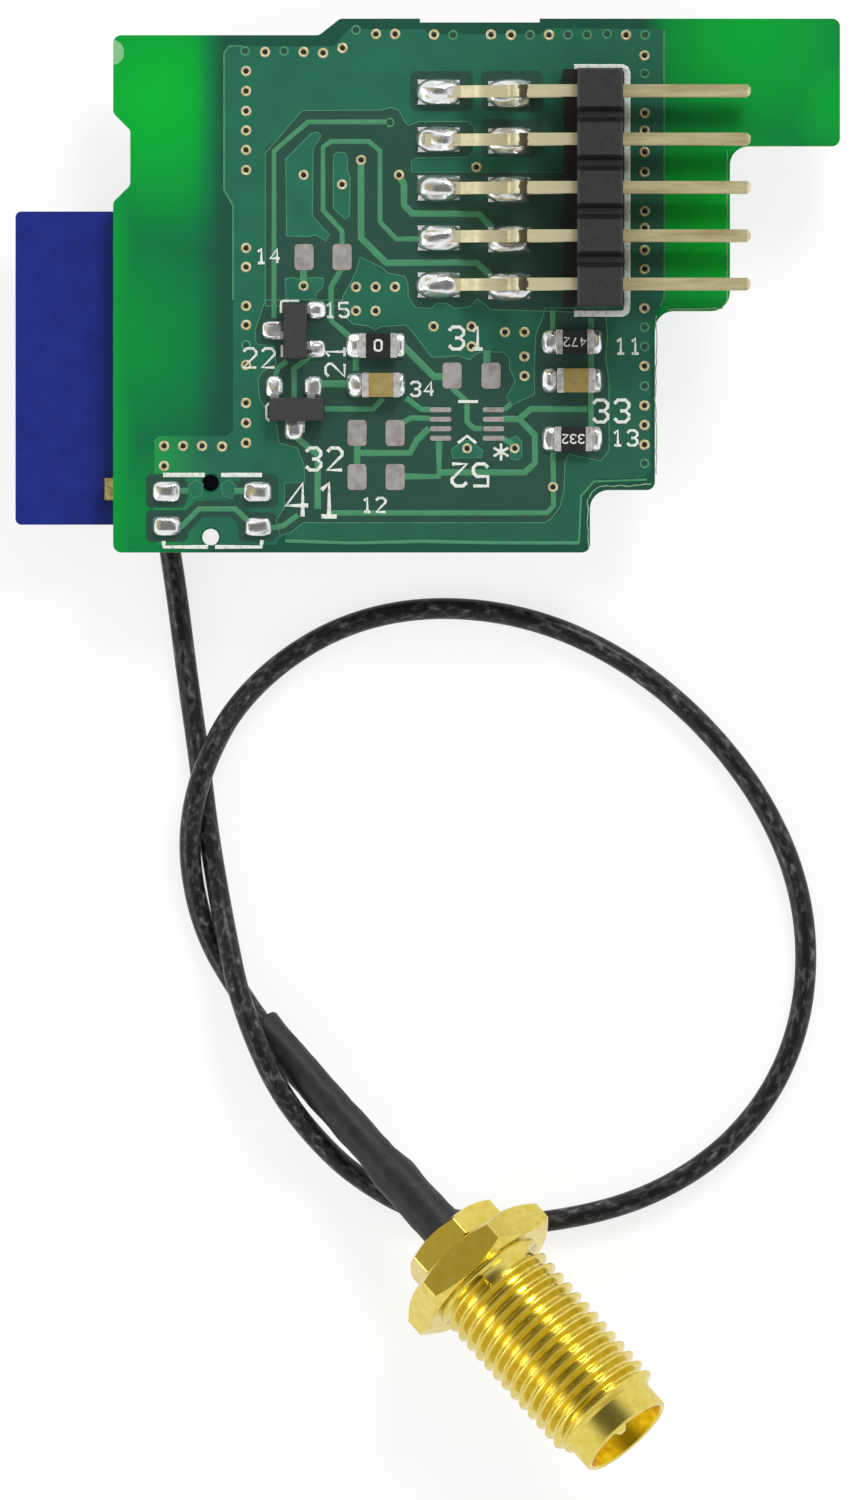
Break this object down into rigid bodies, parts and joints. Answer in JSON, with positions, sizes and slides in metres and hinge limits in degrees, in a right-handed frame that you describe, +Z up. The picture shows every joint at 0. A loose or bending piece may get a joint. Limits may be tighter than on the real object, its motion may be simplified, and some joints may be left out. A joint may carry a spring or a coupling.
{
  "type": "radio expansion module",
  "caption": "Green circuit board with a right-angle pin header, a radio board on its back and a looped aerial cable that ends in a gold threaded jack.",
  "frame": {"origin": "under the middle of the two boards, on the surface that the module lies on (the shield can's outer face)", "axes": "+X along the board towards the header's free pins, +Y across the board away from the aerial cable, +Z up out of the header side"},
  "size_m": [0.0434, 0.0765, 0.0111],
  "materials": {
    "green_board": "solder mask over glass-fibre laminate, satin gloss",
    "blue_board": "blue solder mask over glass-fibre laminate, satin gloss",
    "tin_steel": "tinned sheet, satin",
    "solder": "bright tin solder, uneven",
    "gold_plate": "gold plating over brass, bright",
    "pin_plate": "thin gold flash over brass pins, pale, semi-matte",
    "black_moulding": "black moulded thermoplastic, slightly rough",
    "package_moulding": "black epoxy package, matte",
    "resistor_ceramic": "black overglaze on ceramic, satin",
    "capacitor_ceramic": "tan fired ceramic, satin",
    "cable_jacket": "black extruded jacket, satin",
    "shrink_tube": "black shrunk polyolefin, matte",
    "dielectric": "white fluoropolymer, waxy"
  },
  "bodies": {
    "root": {"main_board": "green_board", "radio_board": "blue_board", "radio_board_solder": "solder", "shield_can": "tin_steel", "radio_chip": "package_moulding", "amplifier_chip": "package_moulding", "crystal": "tin_steel", "receptacle_base": "dielectric", "receptacle_shell": "gold_plate", "receptacle_contact": "gold_plate", "plug_shell": "gold_plate", "plug_insulator": "dielectric", "header_body": "black_moulding", "header_solder": "solder", "jumper_body": "resistor_ceramic", "jumper_ends": "solder", "capacitor_1_body": "capacitor_ceramic", "capacitor_1_ends": "solder", "capacitor_2_body": "capacitor_ceramic", "capacitor_2_ends": "solder", "resistor_1_body": "resistor_ceramic", "resistor_1_ends": "solder", "resistor_2_body": "resistor_ceramic", "resistor_2_ends": "solder", "transistor_1_body": "package_moulding", "transistor_1_leads": "solder", "transistor_2_body": "package_moulding", "transistor_2_leads": "solder", "chip_solder": "solder", "bare_pads": "solder", "button_solder": "solder", "coax_cable": "cable_jacket", "heat_shrink_sleeve": "shrink_tube", "crimp_ferrule": "gold_plate", "connector_body": "gold_plate", "connector_insulator": "dielectric", "connector_pin": "gold_plate", "upper_pin_1": "pin_plate", "lower_pin_1": "pin_plate", "upper_pin_2": "pin_plate", "lower_pin_2": "pin_plate", "upper_pin_3": "pin_plate", "lower_pin_3": "pin_plate", "upper_pin_4": "pin_plate", "lower_pin_4": "pin_plate", "upper_pin_5": "pin_plate", "lower_pin_5": "pin_plate"}
  },
  "joints": []
}
